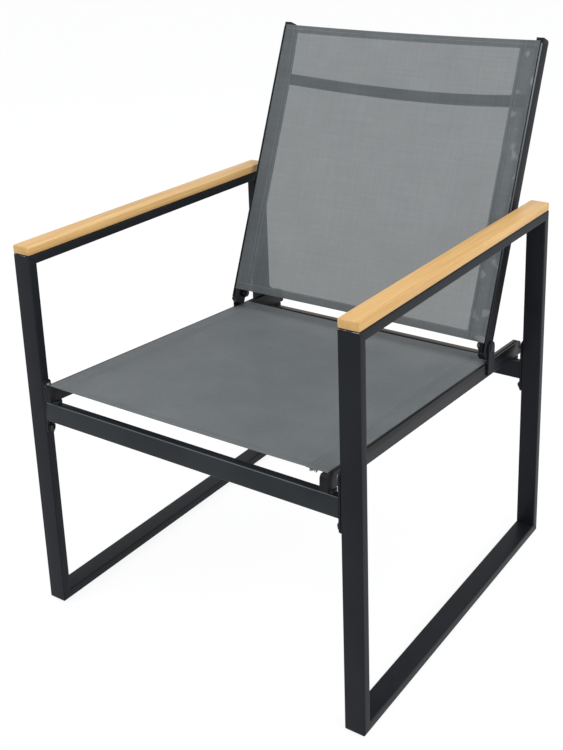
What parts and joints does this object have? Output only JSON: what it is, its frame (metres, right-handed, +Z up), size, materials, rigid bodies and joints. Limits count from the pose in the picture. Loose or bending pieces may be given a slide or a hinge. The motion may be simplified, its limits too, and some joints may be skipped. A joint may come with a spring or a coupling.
{
  "type": "sling patio chair",
  "caption": "Patio armchair with open rectangular side frames, slim wood armrests, a mesh sling seat and a mesh sling back that folds down onto the seat.",
  "frame": {"origin": "on the floor, under the centre of the chair's bounding box", "axes": "+X to the right as seen from the front, +Y to the back, +Z up"},
  "size_m": [0.59, 0.678, 0.8491],
  "materials": {
    "frame_coat": "satin powder coat",
    "rail_coat": "satin powder coat",
    "arm_wood": "clear satin",
    "mesh_fabric": "woven mesh",
    "black_plastic": "matte",
    "black_steel": "black zinc"
  },
  "bodies": {
    "frame": {"right_front_leg": "frame_coat", "right_rear_leg": "frame_coat", "right_arm_rail": "frame_coat", "right_floor_rail": "frame_coat", "right_front_end_plate": "frame_coat", "right_rear_end_plate": "frame_coat", "right_hinge_bracket": "frame_coat", "right_seat_rail": "rail_coat", "right_armrest": "arm_wood", "right_armrest_front_screw": "black_steel", "right_armrest_rear_screw": "black_steel", "right_front_low_plate_bolt": "black_steel", "right_front_high_plate_bolt": "black_steel", "right_rear_low_plate_bolt": "black_steel", "right_rear_high_plate_bolt": "black_steel", "right_pivot_bolt": "black_steel", "right_pivot_nut": "black_steel", "right_front_glide": "black_plastic", "right_rear_glide": "black_plastic", "right_seat_rail_front_cap": "black_plastic", "right_seat_rail_rear_cap": "black_plastic", "right_seat_spline": "black_plastic", "left_front_leg": "frame_coat", "left_rear_leg": "frame_coat", "left_arm_rail": "frame_coat", "left_floor_rail": "frame_coat", "left_front_end_plate": "frame_coat", "left_rear_end_plate": "frame_coat", "left_hinge_bracket": "frame_coat", "left_seat_rail": "rail_coat", "left_armrest": "arm_wood", "left_armrest_front_screw": "black_steel", "left_armrest_rear_screw": "black_steel", "left_front_low_plate_bolt": "black_steel", "left_front_high_plate_bolt": "black_steel", "left_rear_low_plate_bolt": "black_steel", "left_rear_high_plate_bolt": "black_steel", "left_pivot_bolt": "black_steel", "left_pivot_nut": "black_steel", "left_front_glide": "black_plastic", "left_rear_glide": "black_plastic", "left_seat_rail_front_cap": "black_plastic", "left_seat_rail_rear_cap": "black_plastic", "left_seat_spline": "black_plastic", "front_cross_rail": "frame_coat", "rear_cross_rail": "frame_coat", "seat_sling": "mesh_fabric"},
    "back": {"right_back_post": "rail_coat", "right_post_top_cap": "black_plastic", "right_post_foot_plug": "black_plastic", "right_back_spline": "black_plastic", "left_back_post": "rail_coat", "left_post_top_cap": "black_plastic", "left_post_foot_plug": "black_plastic", "left_back_spline": "black_plastic", "back_sling": "mesh_fabric", "back_bow_bar": "rail_coat"}
  },
  "joints": [
    {"name": "back_fold", "type": "hinge", "parent": "frame", "child": "back", "pos_m": [0, 0.13385, 0.38267], "axis": [1, 0, 0], "range_deg": [0, 108]}
  ]
}
